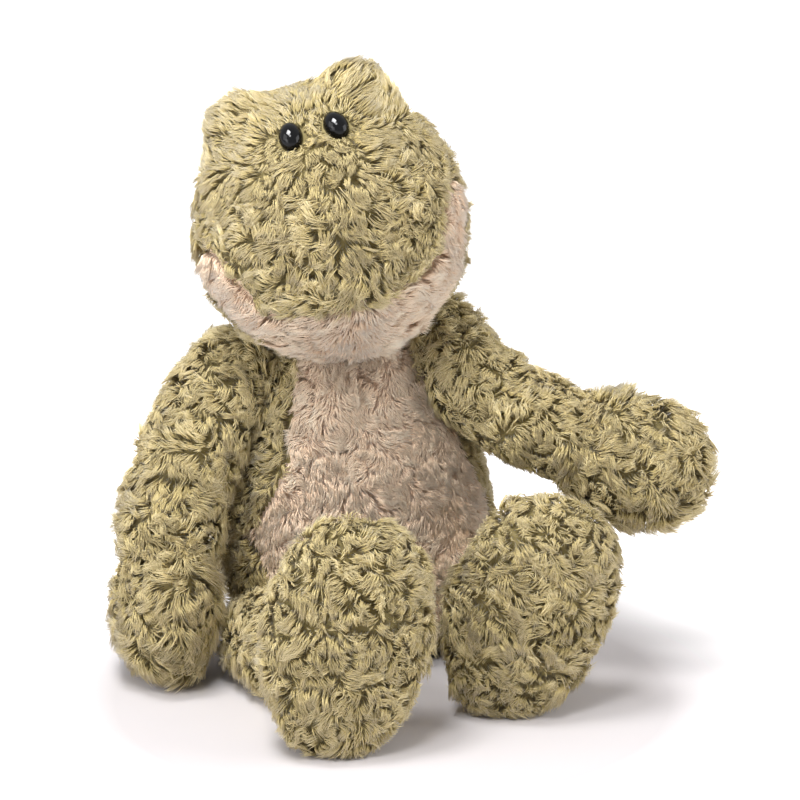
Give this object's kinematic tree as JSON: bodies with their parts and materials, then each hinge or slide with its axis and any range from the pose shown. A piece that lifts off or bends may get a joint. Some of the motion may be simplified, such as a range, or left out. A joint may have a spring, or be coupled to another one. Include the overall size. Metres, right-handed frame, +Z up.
{
  "type": "plush frog",
  "caption": "Sitting plush frog of shaggy fabric with a round head, pale chin and belly, long arms and big upright feet; neck, arms, hands, legs and feet bend.",
  "frame": {"origin": "on the flat patch of the seat, below the middle of the body", "axes": "+Z up, -Y to the front of the body, +X to the toy's own left"},
  "size_m": [0.2495, 0.1975, 0.2674],
  "materials": {
    "green_plush": "long, shaggy pile, olive green",
    "pink_plush": "short, dense pile, pale pink",
    "fibre_filling": "white fibre filling",
    "pellet_filling": "small pale plastic pellets in a bag",
    "eye_plastic": "polished black",
    "washer_plastic": "moulded white"
  },
  "bodies": {
    "torso": {"back_panel": "green_plush", "belly_panel": "pink_plush", "body_stuffing": "fibre_filling", "seat_pouch": "pellet_filling"},
    "neck": {"neck_plug": "fibre_filling"},
    "head": {"face_panel_left": "green_plush", "face_panel_right": "green_plush", "head_back_panel": "green_plush", "chin_panel": "pink_plush", "head_stuffing": "fibre_filling", "eye_left": "eye_plastic", "eye_right": "eye_plastic", "eye_washer_left": "washer_plastic", "eye_washer_right": "washer_plastic"},
    "arm_right": {"arm_right_front_panel": "green_plush", "arm_right_back_panel": "green_plush", "arm_right_stuffing": "fibre_filling"},
    "hand_right": {"hand_right_palm_panel": "green_plush", "hand_right_back_panel": "green_plush", "hand_right_stuffing": "pellet_filling"},
    "leg_right": {"leg_right_inner_panel": "green_plush", "leg_right_outer_panel": "green_plush", "leg_right_stuffing": "fibre_filling"},
    "foot_right": {"foot_right_sole_panel": "green_plush", "foot_right_instep_panel": "green_plush", "foot_right_stuffing": "pellet_filling"},
    "arm_left": {"arm_left_front_panel": "green_plush", "arm_left_back_panel": "green_plush", "arm_left_stuffing": "fibre_filling"},
    "hand_left": {"hand_left_palm_panel": "green_plush", "hand_left_back_panel": "green_plush", "hand_left_stuffing": "pellet_filling"},
    "leg_left": {"leg_left_inner_panel": "green_plush", "leg_left_outer_panel": "green_plush", "leg_left_stuffing": "fibre_filling"},
    "foot_left": {"foot_left_sole_panel": "green_plush", "foot_left_instep_panel": "green_plush", "foot_left_stuffing": "pellet_filling"}
  },
  "joints": [
    {"name": "neck_turn", "type": "hinge", "parent": "torso", "child": "neck", "pos_m": [-0.00517, -0.0005, 0.118], "axis": [0, 0, 1], "range_deg": [-16, 25]},
    {"name": "neck_nod", "type": "hinge", "parent": "neck", "child": "head", "pos_m": [-0.00517, -0.0005, 0.118], "axis": [0.9903, -0.1392, 0], "range_deg": [-8, 8]},
    {"name": "shoulder_right_swing", "type": "hinge", "parent": "torso", "child": "arm_right", "pos_m": [-0.05154, 0, 0.1302], "axis": [-1, 0, 0], "range_deg": [-30, 35]},
    {"name": "wrist_right_bend", "type": "hinge", "parent": "arm_right", "child": "hand_right", "pos_m": [-0.08978, -0.02738, 0.06303], "axis": [-0.1134, 0.9863, -0.1197], "range_deg": [-8, 25]},
    {"name": "hip_right_raise", "type": "hinge", "parent": "torso", "child": "leg_right", "pos_m": [-0.04725, -0.041, 0.0205], "axis": [-0.9703, -0.2419, 0], "range_deg": [-4, 14]},
    {"name": "ankle_right_tilt", "type": "hinge", "parent": "leg_right", "child": "foot_right", "pos_m": [-0.03092, -0.10648, 0.02191], "axis": [-0.9546, -0.2464, 0.1676], "range_deg": [-10, 8]},
    {"name": "shoulder_left_swing", "type": "hinge", "parent": "torso", "child": "arm_left", "pos_m": [0.03646, 0, 0.1378], "axis": [-1, 0, 0], "range_deg": [-25, 22]},
    {"name": "wrist_left_bend", "type": "hinge", "parent": "arm_left", "child": "hand_left", "pos_m": [0.08376, -0.05883, 0.10576], "axis": [0.3232, -0.0204, 0.9461], "range_deg": [-20, 25]},
    {"name": "hip_left_raise", "type": "hinge", "parent": "torso", "child": "leg_left", "pos_m": [0.05275, -0.019, 0.0205], "axis": [-1, -0.0035, 0], "range_deg": [-4, 14]},
    {"name": "ankle_left_tilt", "type": "hinge", "parent": "leg_left", "child": "foot_left", "pos_m": [0.05299, -0.08649, 0.02191], "axis": [-0.9571, -0.0175, 0.2893], "range_deg": [-10, 8]}
  ]
}
